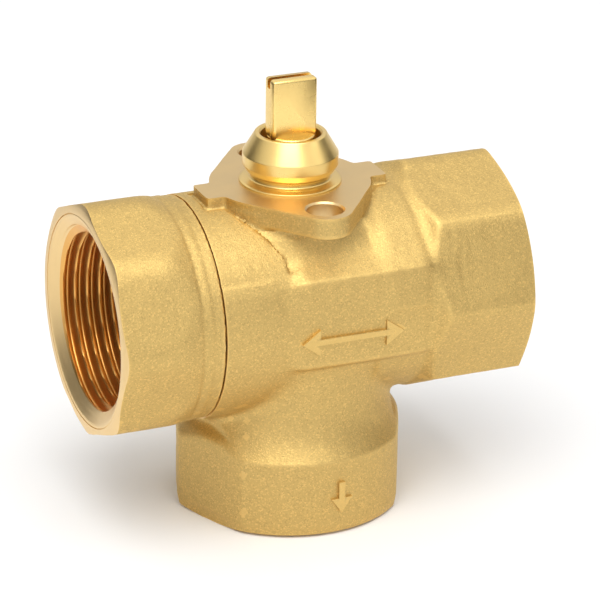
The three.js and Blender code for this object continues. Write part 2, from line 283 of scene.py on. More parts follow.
def tint(name, description, colour):
    """A base colour that a user may change."""
    return FloatVectorProperty(
        name=name, description=description, default=colour, size=3, subtype="COLOR"
    )


def in_degrees(name, description, degrees):
    """An angle that a user may change."""
    return FloatProperty(
        name=name, description=description, default=math.radians(degrees), subtype="ANGLE"
    )


class ValveSizes(bpy.types.PropertyGroup):
    """Sizes of the forging and the cut forms."""

    grid_step: in_mm("Grid step", "Spacing of the grid that the forged skins are drawn from", 0.34)
    barrel_radius: in_mm(
        "Barrel radius", "Radius of the body at the joint with the end connector", 15.55
    )
    waist_radius: in_mm(
        "Waist radius", "Outer radius of the body round the ball, under the flange", 14.7
    )
    pad_depth: in_mm("Pad depth", "Distance of the flat marking pads from the run axis", 15.1)
    outlet_neck_radius: in_mm(
        "Outlet neck radius", "Radius of the neck above the bottom port", 13.7
    )
    thread_pitch: in_mm("Thread pitch", "Pitch of the three pipe threads", 1.814)
    thread_depth: in_mm("Thread depth", "Depth of the three threaded sockets", 15.5)
    mark_height: in_mm("Mark height", "How far the flow arrows stand out of the forging", 0.6)
    waviness: in_mm("Waviness", "Height of the soft unevenness of the forged skin", 0.045)
    turned_steps: IntProperty(
        name="Turned steps",
        description="Number of steps round each turned form",
        default=160,
        min=24,
    )


class ValveColours(bpy.types.PropertyGroup):
    """Base colours of the finishes."""

    forged: tint("Forged brass", "Colour of the blasted brass forging", (0.62, 0.437, 0.158))
    turned: tint("Turned brass", "Colour of the machined brass faces", (0.76, 0.55, 0.265))
    polished: tint("Polished brass", "Colour of the neck and the stem", (0.90, 0.645, 0.235))
    # Painted shade: the thread colour is a deeper, redder brass, for the shade and inter-reflection
    # inside the grooves and passages.
    thread: tint("Cut thread", "Colour of the freshly cut threads", (0.84, 0.46, 0.13))
    chrome: tint("Chrome", "Colour of the plated ball", (0.72, 0.73, 0.75))
    ptfe: tint("PTFE", "Colour of the seats and the washer", (0.84, 0.83, 0.79))
    rubber: tint("Rubber", "Colour of the O-rings", (0.025, 0.025, 0.027))
    floor: tint("Floor", "Colour of the floor", (0.86, 0.86, 0.86))


class ValveStudio(bpy.types.PropertyGroup):
    """Camera and light."""

    azimuth: in_degrees(
        "Azimuth", "Direction the camera looks from, from the front to port B", -23.56
    )
    elevation: in_degrees("Elevation", "Height of the camera above the horizon", 22.64)
    roll: in_degrees("Roll", "Turn of the camera about its line of sight", 0.82)
    distance: in_mm("Distance", "Distance of the camera from the run axis", 478.8)
    lens: FloatProperty(
        name="Focal length",
        description="Focal length on a 36 mm sensor, in millimetres",
        default=206.56,
    )
    aim_right: in_mm("Aim to the right", "How far right of the stem axis the camera stands", 1.58)
    aim_down: in_mm("Aim down", "How far below the run axis the camera stands", 1.34)
    key_power: FloatProperty(
        name="Key power",
        description="Power of the large soft light above",
        default=2.6,
        unit="POWER",
    )
    fill_power: FloatProperty(
        name="Fill power",
        description="Power of the soft light in front, to the right",
        default=0.4,
        unit="POWER",
    )
    sky_strength: FloatProperty(
        name="Sky strength",
        description="Strength of the even light from all round",
        default=1.0,
    )


# ---- Distance forms: negative inside, positive outside, in millimetres ----


def smooth_union(a, b, blend):
    """Joins two distance forms with a concave fillet about as large as blend."""
    share = np.clip(0.5 + 0.5 * (b - a) / blend, 0, 1)
    return b + (a - b) * share - blend * share * (1 - share)


def smooth_cut(a, b, blend):
    """Keeps what two distance forms share, with a rounded edge."""
    return -smooth_union(-a, -b, blend)


def octagon(u, v, flat_distance, lowest=None):
    """An octagonal prism whose ridges lie on the axes and halfway between them.

    The two flats that look down the -v way may lie nearer the axis, at lowest.
    """
    c, s = math.cos(math.pi / 8), math.sin(math.pi / 8)
    side, upright = np.abs(u), np.abs(v)
    steep = s * side + c * upright - flat_distance
    if lowest is not None:
        steep = np.where(v < 0, steep + flat_distance - lowest, steep)
    return np.maximum(c * side + s * upright - flat_distance, steep)


def wrench_end(u, v, along, inner, slope, flat_distance, ridge_radius, lowest=None):
    """An octagonal end with softened ridges, whose inner edge is turned to a cone.

    along grows outward from the inner edge of the end, where the cone's radius is inner.
    """
    radius = np.hypot(u, v)
    prism = smooth_cut(octagon(u, v, flat_distance, lowest), radius - ridge_radius, RIDGE_EDGE)
    cone = (radius - inner - slope * along) / math.hypot(1, slope)
    prism = smooth_cut(prism, cone, RIDGE_EDGE)
    return smooth_cut(prism, -along, RIDGE_EDGE)


def flange_outline(x, y):
    """Distance to the flange's outline: a lozenge with two round lobes and two tabs."""
    x, y = np.abs(x), np.abs(y)
    lean = (FLANGE_RADIUS - LOBE_RADIUS) / LOBE_SPACING
    side = math.sqrt(1 - lean * lean)
    along = side * y - lean * x
    centre = np.hypot(x, y) - FLANGE_RADIUS
    lobe = np.hypot(x, y - LOBE_SPACING) - LOBE_RADIUS
    straight = side * x + lean * y - FLANGE_RADIUS
    lozenge = np.where(along < 0, centre, np.where(along > side * LOBE_SPACING, lobe, straight))
    tab = smooth_cut(x - TAB_REACH, y - TAB_HALF_WIDTH, 0.5)
    return smooth_union(lozenge, tab, 0.6)


def body_form(sizes):
    """The distance form of the forging's outside, before machining."""
    barrel_radius = sizes.barrel_radius / MM
    waist_radius = sizes.waist_radius / MM
    pad_depth = sizes.pad_depth / MM
    neck_radius = sizes.outlet_neck_radius / MM
    rise = math.sqrt(1 - RIDGE_LEAN**2)

    def distance(x, y, z):
        radius = np.hypot(y, z)
        from_stem = np.hypot(x, y)
        across = np.abs(y)
        outline = flange_outline(x, y)

        # The waist round the ball, with a marking pad in front and behind
        waist = np.maximum(radius - waist_radius, x - END_B_START - WAIST_OVERLAP)
        tangent = RIDGE_LEAN * across + rise * z - waist_radius - PAD_PROUD
        pad = smooth_cut(across - pad_depth, tangent, 0.4)
        pad = smooth_cut(pad, PAD_BOTTOM - z, 0.8)
        pad = smooth_cut(pad, np.abs(x - PAD_MIDDLE_X) - PAD_HALF_LENGTH, 3)
        pad = np.maximum(pad, z - PAD_TOP)
        run = smooth_union(waist, pad, 0.8)

        # The web between the flange and port B, and the ring beside it
        web = smooth_cut(radius - barrel_radius, np.abs(x - WEB_X) - WEB_HALF_LENGTH, 1.8)
        web = smooth_cut(web, WEB_INSET - outline, 0.5)
        web = np.maximum(web, WEB_BOTTOM - z)
        run = smooth_union(run, web, 1.6)
        ring = np.maximum(
            radius - CORE_RING_RADIUS, np.abs(x - CORE_RING_X) - CORE_RING_HALF_LENGTH
        )
        run = smooth_union(run, ring, 0.8)

        # The boss, whose fillet dies out under the flange
        boss = np.maximum(from_stem - FLANGE_RADIUS, np.abs(z - BOSS_Z) - BOSS_HALF_HEIGHT)
        fade = np.clip((BOSS_Z + BOSS_HALF_HEIGHT - z) / 3, 0.05, 1)
        run = smooth_union(run, boss, BOSS_FILLET * fade)

        # The barrel at the joint, easing into the waist on the lower side
        barrel = smooth_cut(radius - barrel_radius, BARREL_INSET - outline, 0.25)
        barrel = np.minimum(barrel, radius - CORE_RING_RADIUS)
        barrel = smooth_cut(barrel, x - PAD_LEFT_X, 0.5)
        barrel = np.maximum(barrel, BARREL_BOTTOM - z)
        ease = np.clip((x - EASE_START) / EASE_LENGTH, 0, 1)
        ease = ease * ease * (3 - 2 * ease)
        eased = barrel_radius - (barrel_radius - waist_radius) * ease
        lower = np.maximum(radius - eased, z - LOWER_TOP)
        lower = np.maximum(lower, x - END_B_START - WAIST_OVERLAP)
        run = smooth_union(run, lower, 1.5)
        run = smooth_union(run, barrel, 0.35)
        run = np.maximum(run, SEAM_X - SPARE - x)

        # The bottom port: an octagon with a round front and back, under a round neck
        height = AB_HEIGHT - AXIS - z
        end = wrench_end(x, y, height, AB_CONE_RADIUS, 1, AB_FLAT_DISTANCE, AB_RIDGE_RADIUS)
        half_sector = AB_RIDGE_RADIUS * math.sqrt(0.5)
        cheeks = np.maximum(from_stem - AB_RIDGE_RADIUS, np.abs(x) - half_sector)
        cheeks = np.maximum(cheeks, (from_stem - AB_CONE_RADIUS - height) * math.sqrt(0.5))
        end = np.minimum(end, cheeks)
        neck = np.maximum(from_stem - neck_radius, z)
        neck = np.maximum(neck, AB_NECK_FOOT - AXIS - z)
        outlet = smooth_union(neck, end, 4.5)
        outlet = np.maximum(outlet, -AXIS - SPARE - z)

        end_b = wrench_end(
            y,
            z,
            x - END_B_START,
            END_B_CONE_RADIUS,
            1,
            FLAT_DISTANCE,
            RIDGE_RADIUS,
            END_B_LOWEST_FLAT,
        )
        end_b = np.maximum(end_b, x - RUN_HALF - SPARE)

        middle = FLANGE_TOP + SPARE / 2 - FLANGE_THICKNESS / 2
        slab = np.abs(z - middle) - (FLANGE_THICKNESS + SPARE) / 2
        flange = smooth_cut(outline, slab, 0.35)

        whole = smooth_union(run, outlet, 1.3)
        whole = smooth_union(whole, end_b, 1.3)
        return smooth_union(whole, flange, 0.5)

    return distance


def connector_form():
    """The distance form of the end connector's outside, before machining."""
    middle = (COLLAR_START + SEAM_X - SEAM_GAP) / 2
    half = (SEAM_X - SEAM_GAP - COLLAR_START) / 2

    def distance(x, y, z):
        radius = np.hypot(y, z)
        end = wrench_end(
            y,
            z,
            END_A_START - x,
            END_A_CONE_RADIUS,
            END_A_CONE_SLOPE,
            FLAT_DISTANCE,
            END_A_RIDGE_RADIUS,
            END_A_LOWEST_FLAT,
        )
        end = np.maximum(end, -RUN_HALF - SPARE - x)
        collar = smooth_cut(radius - COLLAR_RADIUS, np.abs(x - middle) - half, 0.2)
        core = np.maximum(radius - CORE_RADIUS, x - COLLAR_START - 1)
        core = np.maximum(core, END_A_START - 6 - x)
        spigot = smooth_cut(radius - SOCKET_BORE + GAP, x - SPIGOT_END, 0.4)
        spigot = np.maximum(spigot, COLLAR_START - x)
        outside = smooth_union(end, core, 0.4)
        outside = smooth_union(outside, collar, 0.3)
        return np.minimum(outside, spigot)

    return distance


# ---- Meshes ----


def skin(distance, low, high, step):
    """Vertices and quads of the surface where distance is zero, settled onto it."""
    axes = [np.arange(a, b + step, step, dtype=np.float32) for a, b in zip(low, high)]
    volume = distance(*np.meshgrid(*axes, indexing="ij")).astype(np.float32)
    grid = openvdb.FloatGrid()
    grid.copyFromArray(volume)
    points, quads = grid.convertToQuads()
    points = np.array([axis[0] for axis in axes]) + points.astype(float) * step
    reach = 0.02
    for _ in range(3):
        slope = np.stack(
            [
                (distance(*(points + offset).T) - distance(*(points - offset).T)) / (2 * reach)
                for offset in np.eye(3) * reach
            ],
            axis=1,
        )
        steepness = np.maximum((slope**2).sum(axis=1), 0.05)
        move = slope * (distance(*points.T) / steepness)[:, None]
        points -= np.clip(move, -step / 2, step / 2)
    return points, quads


def mesh_object(name, vertices, faces, *materials):
    """A new mesh object whose faces point outward."""
    data = bpy.data.meshes.new(name)
    data.from_pydata([tuple(v) for v in vertices], [], [tuple(f) for f in faces])
    for material in materials:
        data.materials.append(material)
    made = bpy.data.objects.new(name, data)
    bpy.context.scene.collection.objects.link(made)
    with editing(made) as bm:
        bmesh.ops.remove_doubles(bm, verts=bm.verts, dist=1e-5)
        bmesh.ops.recalc_face_normals(bm, faces=bm.faces)
    return made


class editing:
    """Opens an object's mesh as a bmesh and writes it back."""

    def __init__(self, thing):
        self.data = thing.data

    def __enter__(self):
        self.bm = bmesh.new()
        self.bm.from_mesh(self.data)
        return self.bm

    def __exit__(self, *_):
        self.bm.to_mesh(self.data)
        self.bm.free()


def turned_form(name, profile, axis, steps, *materials):
    """A closed body of revolution. Profile points are (radius, distance along the axis)."""
    turns = np.arange(steps) * 2 * math.pi / steps
    rows = []
    vertices = []
    for radius, along in profile:
        if radius < 1e-6:
            rows.append([len(vertices)])
            vertices.append(on_axis(axis, 0, 0, along))
            continue
        rows.append(list(range(len(vertices), len(vertices) + steps)))
        vertices += [
            on_axis(axis, radius * math.cos(t), radius * math.sin(t), along) for t in turns
        ]
    pairs = list(zip(rows, rows[1:]))
    if len(rows[0]) > 1:
        pairs.append((rows[-1], rows[0]))
    return mesh_object(name, vertices, [f for a, b in pairs for f in band(a, b)], *materials)


def band(lower, upper):
    """Faces between two rings of vertices, either of which may be one point."""
    steps = max(len(lower), len(upper))
    faces = []
    for i in range(steps):
        j = (i + 1) % steps
        corners = [lower[i % len(lower)], lower[j % len(lower)]]
        corners += [upper[j % len(upper)], upper[i % len(upper)]]
        faces.append(tuple(dict.fromkeys(corners)))
    return faces


def on_axis(axis, u, v, along):
    """A point beside the x or the z axis."""
    return (along, u, v) if axis == "x" else (u, v, along)


def rounded(points, radius, steps=6):
    """A profile whose inner corners are rounded to arcs. A point may carry its own radius."""
    corners = [p if len(p) == 3 else (*p, radius) for p in points]
    out = [corners[0][:2]]
    for before, here, after in zip(corners, corners[1:], corners[2:]):
        centre = Vector(here[:2])
        to_before = Vector(before[:2]) - centre
        to_after = Vector(after[:2]) - centre
        turn = to_before.angle(to_after, 0)
        if here[2] <= 0 or turn < 0.05 or turn > math.pi - 0.02:
            out.append(tuple(centre))
            continue
        reach = min(here[2] / math.tan(turn / 2), to_before.length * 0.49, to_after.length * 0.49)
        start = centre + to_before.normalized() * reach
        end = centre + to_after.normalized() * reach
        middle = (to_before.normalized() + to_after.normalized()).normalized()
        arc_centre = centre + middle * math.hypot(reach, reach * math.tan(turn / 2))
        first, last = start - arc_centre, end - arc_centre
        sweep = first.angle_signed(last, 0)
        for i in range(steps + 1):
            angle = -sweep * i / steps
            c, s = math.cos(angle), math.sin(angle)
            out.append(
                (arc_centre.x + c * first.x - s * first.y, arc_centre.y + s * first.x + c * first.y)
            )
    out.append(corners[-1][:2])
    return out


def carve(target, tool, operation="DIFFERENCE"):
    """Cuts a tool out of target, or joins it on, and removes the tool."""
    change = target.modifiers.new(operation.lower(), "BOOLEAN")
    change.object = tool
    change.operation = operation
    change.solver = "MANIFOLD"
    change.material_mode = "TRANSFER"
    bpy.context.view_layer.update()
    scene_state = bpy.context.evaluated_depsgraph_get()
    changed = target.evaluated_get(scene_state)
    result = bpy.data.meshes.new_from_object(changed, depsgraph=scene_state)
    target.modifiers.clear()
    old = target.data
    target.data = result
    bpy.data.meshes.remove(old)
    bpy.data.objects.remove(tool)
    if not result.polygons:
        raise RuntimeError(f"{target.name}: the {operation.lower()} left nothing")


def roughen(target, height, seed):
    """Soft unevenness of a forged skin, along the vertex normals."""
    data = target.data
    count = len(data.vertices)
    points = np.empty(count * 3)
    data.vertices.foreach_get("co", points)
    points = points.reshape(-1, 3)
    normals = np.empty(count * 3)
    data.vertices.foreach_get("normal", normals)
    normals = normals.reshape(-1, 3)
    waves = np.random.default_rng(seed)
    offset = np.zeros(count)
    for length, share in ((5.0, 0.5), (2.6, 0.3), (1.3, 0.2)):
        for _ in range(7):
            direction = waves.normal(size=3)
            direction *= 2 * math.pi / length / np.linalg.norm(direction)
            offset += share / 7 * 2 * np.sin(points @ direction + waves.uniform(0, 2 * math.pi))
    points += normals * (offset * height)[:, None]
    data.vertices.foreach_set("co", points.ravel())
    data.update()


def place(piece, body, slot, *nodes, crease=32):
    """Moves a finished piece into the row frame and hands it to its CAD body."""
    data = piece.data
    data.transform(Matrix.Scale(MM, 4) @ Matrix.Translation((0, 0, AXIS)))
    data.shade_smooth()
    data.set_sharp_from_angle(angle=math.radians(crease))
    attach(piece, body)
    if nodes:
        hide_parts(*nodes)
    return piece


# ---- Cutting tools ----


def facing_tool(name, face_radius, steps, material):
    """Cuts an end square and chamfers its outer edge. The end looks along +z from z = 0."""
    outside = RIDGE_RADIUS + FACE_OVERHANG
    drop = FACE_CHAMFER * (outside - face_radius)
    profile = [(0, 0), (face_radius, 0), (outside, -drop)]
    profile += [(FACING_REACH, -drop), (FACING_REACH, 3), (0, 3)]
    return turned_form(name, profile, "z", steps, material)


def thread_tool(name, sizes, mouth_material, thread_material):
    """The space inside a right-hand pipe thread with a countersunk mouth, down from z = 0."""
    pitch = sizes.thread_pitch / MM
    depth = sizes.thread_depth / MM
    steps = sizes.turned_steps
    turns = np.arange(steps) * 2 * math.pi / steps
    slices = np.arange(0.05, depth + 1e-6, pitch / THREAD_SLICES)
    lip = SINK_RADIUS + 0.4
    rows = [[(0, 0, 1)], ring_points(lip, turns, 1), ring_points(lip, turns, -0.14)]
    rows.append(ring_points(lip - 0.15, turns, -0.03))
    for t in slices:
        phase = (-t / pitch - turns / (2 * math.pi)) % 1
        form = (0.5 - 0.5 * np.cos(2 * math.pi * phase)) ** THREAD_ROUNDNESS
        fade = min(1, max(0, (depth - t - THREAD_RUNOUT) / pitch))
        thread = THREAD_MINOR + (THREAD_MAJOR - THREAD_MINOR) * form * fade
        sink = SINK_RADIUS + (THREAD_MINOR - SINK_RADIUS) * t / SINK_DEPTH
        radius = np.maximum(thread, sink)
        rows.append(ring_points(radius, turns, -t))
    rows.append([(0, 0, -slices[-1])])
    vertices = []
    rings = []
    for row in rows:
        rings.append(list(range(len(vertices), len(vertices) + len(row))))
        vertices += row
    faces = [f for a, b in zip(rings, rings[1:]) for f in band(a, b)]
    tool = mesh_object(name, vertices, faces, mouth_material, thread_material)
    for face in tool.data.polygons:
        face.material_index = int(face.center.z < -SINK_DEPTH * 0.8)
    return tool


def ring_points(radius, turns, z):
    """Points round a ring whose radius may change with the turn."""
    radii = np.broadcast_to(radius, turns.shape)
    return [(r * math.cos(t), r * math.sin(t), z) for r, t in zip(radii, turns)]


def aim(tool, direction, origin):
    """Turns a tool made along +z to look along direction, and moves it to origin."""
    turn = Vector((0, 0, 1)).rotation_difference(Vector(direction)).to_matrix().to_4x4()
    tool.data.transform(Matrix.Translation(origin) @ turn)
    return tool


def cut_port(target, direction, origin, sizes, finishes, face_radius=FACE_RADIUS):
    """Faces one end of a forging and threads its socket."""
    tool = facing_tool("facing", face_radius, sizes.turned_steps, finishes["face"])
    carve(target, aim(tool, direction, origin))
    tool = thread_tool("thread", sizes, finishes["face"], finishes["thread"])
    carve(target, aim(tool, direction, origin))


# ---- Finishes ----


class Finish:
    """A Principled material under construction."""

    def __init__(self, name, colour, metallic, roughness):
        self.material = bpy.data.materials.new(name)
        self.material.use_nodes = True
        self.tree = self.material.node_tree
        self.shader = self.tree.nodes["Principled BSDF"]
        self.colour = colour
        self.shader.inputs["Base Color"].default_value = (*colour, 1)
        self.shader.inputs["Metallic"].default_value = metallic
        self.shader.inputs["Roughness"].default_value = roughness
        self.position = self.add("ShaderNodeTexCoord").outputs["Object"]

    def add(self, kind, **values):
        """Adds a node, setting its sockets and its own settings by name."""
        node = self.tree.nodes.new(kind)
        for key, value in values.items():
            if key in node.inputs:
                node.inputs[key].default_value = value
            else:
                setattr(node, key, value)
        return node

    def link(self, source, target):
        self.tree.links.new(source, target)

    def noise(self, size, detail=3, roughness=0.5, where=None):
        """Cloudy noise with features about size metres across."""
        node = self.add("ShaderNodeTexNoise", Scale=1 / size, Detail=detail)
        node.inputs["Roughness"].default_value = roughness
        self.link(where or self.position, node.inputs["Vector"])
        return node.outputs["Fac"]

    def cells(self, size):
        """Voronoi cells about size metres across."""
        node = self.add("ShaderNodeTexVoronoi", Scale=1 / size)
        self.link(self.position, node.inputs["Vector"])
        return node

    def range(self, source, low, high, from_low=0.0, from_high=1.0):
        """Maps a value to another range."""
        node = self.add("ShaderNodeMapRange")
        node.inputs["From Min"].default_value = from_low
        node.inputs["From Max"].default_value = from_high
        node.inputs["To Min"].default_value = low
        node.inputs["To Max"].default_value = high
        self.link(source, node.inputs["Value"])
        return node.outputs["Result"]

    def blend(self, share, a, b):
        """Blends two colours: each a factor on the base colour, a colour or a socket."""
        node = self.add("ShaderNodeMix", data_type="RGBA")
        self.link(share, node.inputs[0])
        for socket, value in ((node.inputs[6], a), (node.inputs[7], b)):
            if isinstance(value, float):
                socket.default_value = (*shade(self.colour, value), 1)
            elif isinstance(value, tuple):
                socket.default_value = (*value, 1)
            else:
                self.link(value, socket)
        return node.outputs[2]

    def bump(self, height, distance, strength=1.0, under=None):
        """Adds a layer of relief that is distance metres high."""
        node = self.add("ShaderNodeBump", Strength=strength, Distance=distance)
        self.link(height, node.inputs["Height"])
        if under is not None:
            self.link(under, node.inputs["Normal"])
        return node.outputs["Normal"]

    def set(self, **sockets):
        """Links the shader's sockets and hands over the material."""
        for name, source in sockets.items():
            self.link(source, self.shader.inputs[name.replace("_", " ")])
        return self.material


def shade(colour, factor):
    """A colour made lighter or darker."""
    return tuple(min(1, c * factor) for c in colour)


def even_finish(finish, haze, haze_detail, tones, roughness, grain, height, strength):
    """Completes a finish whose tone and gloss drift with one haze, over one fine grain."""
    cloud = finish.noise(haze, detail=haze_detail)
    tone = finish.blend(cloud, *tones)
    rough = finish.range(cloud, *roughness)
    relief = finish.bump(finish.noise(grain, detail=2), height, strength)
    return finish.set(Base_Color=tone, Roughness=rough, Normal=relief)


def forged_brass(colours):
    """Shot-blasted forging: fine facets and flecks with painted glints, soft patches, painted ridge
    highlight.
    """
    finish = Finish("blasted_forging", tuple(colours.forged), 1, 0.55)
    patches = finish.noise(0.006, detail=4)
    facets = finish.cells(0.00018)
    fine = finish.noise(0.00016, detail=2, roughness=0.6)
    parts = finish.add("ShaderNodeSeparateColor")
    finish.link(facets.outputs["Color"], parts.inputs["Color"])
    tone = finish.blend(patches, 0.94, 1.05)
    dark = finish.range(parts.outputs["Green"], 0, 0.6, 0.7, 1.0)
    tone = finish.blend(dark, tone, 0.76)
    # Painted glints: some of the facets are lightened to stand for sparkles of light.
    bright = finish.range(parts.outputs["Red"], 0, 0.8, 0.66, 1.0)
    tone = finish.blend(bright, tone, 1.3)
    # Painted highlight: the pointiest places, the ridges and sharp edges, are lightened.
    edge = finish.add("ShaderNodeNewGeometry").outputs["Pointiness"]
    painted_ridge_highlight = finish.range(edge, 0, 0.7, 0.507, 0.54)
    tone = finish.blend(painted_ridge_highlight, tone, 1.28)
    rough = finish.range(fine, 0.62, 0.48)
    relief = finish.bump(fine, 0.00005, 0.6)
    relief = finish.bump(facets.outputs["Distance"], 0.00005, 0.5, relief)
    relief = finish.bump(finish.noise(0.0016, detail=3), 0.00008, 0.5, relief)
    return finish.set(Base_Color=tone, Roughness=rough, Normal=relief)


def turned_brass(colours, name, axis_height=None):
    """A machined face with fine rings left by the tool."""
    colour = tuple(colours.turned)
    # Painted light: the faces and bores turned round the run axis take a copy of the turned colour
    # lightened by 1.12.
    if axis_height is not None:
        colour = shade(colour, 1.12)
    finish = Finish(name, colour, 1, 0.38)
    where = finish.position
    direction = "Z"
    if axis_height is not None:
        shift = finish.add("ShaderNodeMapping")
        shift.inputs["Location"].default_value = (0, 0, -axis_height * MM)
        finish.link(where, shift.inputs["Vector"])
        where = shift.outputs["Vector"]
        direction = "X"
    rings = finish.add("ShaderNodeTexWave", wave_type="RINGS", rings_direction=direction)
    rings.inputs["Scale"].default_value = 420
    rings.inputs["Distortion"].default_value = 1.4
    rings.inputs["Detail"].default_value = 3
    rings.inputs["Detail Scale"].default_value = 2
    finish.link(where, rings.inputs["Vector"])
    haze = finish.noise(0.0035, detail=4)
    tone = finish.blend(haze, 0.93, 1.05)
    rough = finish.range(haze, 0.33, 0.45)
    relief = finish.bump(rings.outputs["Fac"], 0.00001, 0.35)
    relief = finish.bump(finish.noise(0.0003, detail=2), 0.00002, 0.3, relief)
    return finish.set(Base_Color=tone, Roughness=rough, Normal=relief)


def polished_brass(colours):
    """Bright turned brass with faint tool rings round the stem axis."""
    finish = Finish("polished_brass", tuple(colours.polished), 1, 0.27)
    rings = finish.add("ShaderNodeTexWave", wave_type="BANDS", bands_direction="Z")
    rings.inputs["Scale"].default_value = 900
    rings.inputs["Distortion"].default_value = 0.6
    rings.inputs["Detail"].default_value = 2
    finish.link(finish.position, rings.inputs["Vector"])
    haze = finish.noise(0.004, detail=4)
    tone = finish.blend(haze, 0.94, 1.04)
    rough = finish.range(haze, 0.216, 0.405)
    relief = finish.bump(rings.outputs["Fac"], 0.000004, 0.25)
    relief = finish.bump(finish.noise(0.0012, detail=3), 0.000012, 0.3, relief)
    return finish.set(Base_Color=tone, Roughness=rough, Normal=relief)


def cut_thread(colours):
    """Bright cut thread, a little darker in patches."""
    # Painted shade: the deep orange base stands in for the shade and inter-reflection in the thread
    # grooves.
    finish = Finish("cut_thread", tuple(colours.thread), 1, 0.32)
    return even_finish(finish, 0.005, 4, (0.88, 1.0), (0.28, 0.38), 0.0006, 0.000008, 0.3)


def milled_brass(colours):
    """The stem: bright brass with faint straight marks down its length."""
    finish = Finish("milled_brass", shade(tuple(colours.polished), 1.04), 1, 0.26)
    stretch = finish.add("ShaderNodeMapping")
    stretch.inputs["Scale"].default_value = (1, 1, 0.06)
    finish.link(finish.position, stretch.inputs["Vector"])
    streaks = finish.noise(0.0005, detail=3, where=stretch.outputs["Vector"])
    haze = finish.noise(0.003, detail=3)
    tone = finish.blend(haze, 0.95, 1.03)
    rough = finish.range(haze, 0.22, 0.32)
    relief = finish.bump(streaks, 0.000005, 0.3)
    relief = finish.bump(finish.noise(0.0012, detail=3), 0.00001, 0.35, relief)
    return finish.set(Base_Color=tone, Roughness=rough, Normal=relief)


def chrome_plate(colours):
    """Bright chrome with a trace of haze."""
    finish = Finish("chrome_plate", tuple(colours.chrome), 1, 0.06)
    return even_finish(finish, 0.003, 4, (0.95, 1.03), (0.04, 0.1), 0.0018, 0.000006, 0.2)


def white_ptfe(colours):
    """Waxy white plastic with faint turning marks."""
    finish = Finish("waxy_ptfe", tuple(colours.ptfe), 0, 0.42)
    finish.shader.inputs["Subsurface Weight"].default_value = 0.15
    finish.shader.inputs["Subsurface Radius"].default_value = (0.0008, 0.0007, 0.0006)
    return even_finish(finish, 0.004, 3, (0.95, 1.02), (0.36, 0.5), 0.0003, 0.000015, 0.4)


def black_rubber(colours):
    """Moulded black rubber with a light bloom."""
    finish = Finish("moulded_rubber", tuple(colours.rubber), 0, 0.6)
    return even_finish(finish, 0.002, 4, (1.0, 1.9), (0.5, 0.72), 0.0002, 0.00001, 0.5)


# ---- Pieces ----


def body_hollow(name, steps, material):
    """The ball chamber, the connector's socket and the seat pocket at port B."""
    profile = [
        (0, SEAM_X - 4),
        (SOCKET_BORE + SOCKET_RELIEF, SEAM_X - 4),
        (SOCKET_BORE + SOCKET_RELIEF, SEAM_X),
        (SOCKET_BORE + SOCKET_CHAMFER, SEAM_X),
        (SOCKET_BORE, SEAM_X + SOCKET_CHAMFER),
        (SOCKET_BORE, SOCKET_FLOOR),
        (CHAMBER_BORE, SOCKET_FLOOR),
        (CHAMBER_BORE, SEAT_NOSE_X),
        (SEAT_POCKET_RADIUS, SEAT_NOSE_X),
        (SEAT_POCKET_RADIUS, SEAT_POCKET_FLOOR),
        (PASSAGE_RADIUS, SEAT_POCKET_FLOOR),
        (PASSAGE_RADIUS, SEAT_POCKET_FLOOR + 2),
        (0, SEAT_POCKET_FLOOR + 2),
    ]
    return turned_form(name, profile, "x", steps, material)


def stem_passage(name, steps, material):
    """The stem bore and the pocket for the stem's collar."""
    profile = [
        (0, 0),
        (COLLAR_POCKET_RADIUS, 0),
        (COLLAR_POCKET_RADIUS, COLLAR_POCKET_TOP),
        (STEM_BORE, COLLAR_POCKET_TOP),
        (STEM_BORE, FLANGE_TOP + 2),
        (0, FLANGE_TOP + 2),
    ]
    return turned_form(name, profile, "z", steps, material)


def outlet_passage(name, depth, steps, material):
    """The passage from the ball chamber down to port AB's thread."""
    top = -AXIS + depth - SPARE
    profile = [(0, top), (PASSAGE_RADIUS, top), (PASSAGE_RADIUS, 0), (0, 0)]
    return turned_form(name, profile, "z", steps, material)


def flange_plane(name, material):
    """Cuts the flange's top flat."""
    low = (SEAM_X - GRID_MARGIN, -PLANE_HALF_WIDTH, FLANGE_TOP)
    high = (END_B_START - 0.2, PLANE_HALF_WIDTH, FLANGE_TOP + PLANE_HEIGHT)
    return block(name, low, high, material)


def block(name, low, high, material):
    """A plain cutting block between two corners."""
    xs, ys, zs = zip(low, high)
    corners = [(x, y, z) for x in xs for y in ys for z in zs]
    faces = [(0, 1, 3, 2), (4, 6, 7, 5), (0, 4, 5, 1), (2, 3, 7, 6), (0, 2, 6, 4), (1, 5, 7, 3)]
    return mesh_object(name, corners, faces, material)


def flange_hole(name, y, material):
    """A locating hole with a chamfered mouth."""
    profile = [
        (0, FLANGE_TOP - HOLE_DEPTH),
        (HOLE_RADIUS, FLANGE_TOP - HOLE_DEPTH),
        (HOLE_RADIUS, FLANGE_TOP - HOLE_CHAMFER),
        (HOLE_RADIUS + HOLE_CHAMFER + HOLE_MOUTH, FLANGE_TOP + HOLE_MOUTH),
        (0, FLANGE_TOP + HOLE_MOUTH),
    ]
    tool = turned_form(name, profile, "z", BORE_STEPS, material)
    tool.data.transform(Matrix.Translation((0, y, 0)))
    return tool


def raised_mark(name, outline, crown, material):
    """A raised mark facing the front: an outline in (x, z) whose top follows the crown."""
    count = len(outline)
    vertices = [(x, y, z) for y in (ARROW_BACK, ARROW_FRONT) for x, z in outline]
    faces = [tuple(range(count)), tuple(range(count, 2 * count))]
    faces += [(i, (i + 1) % count, count + (i + 1) % count, count + i) for i in range(count)]
    mark = mesh_object(name, vertices, faces, material)
    carve(mark, crown, "INTERSECT")
    return mark


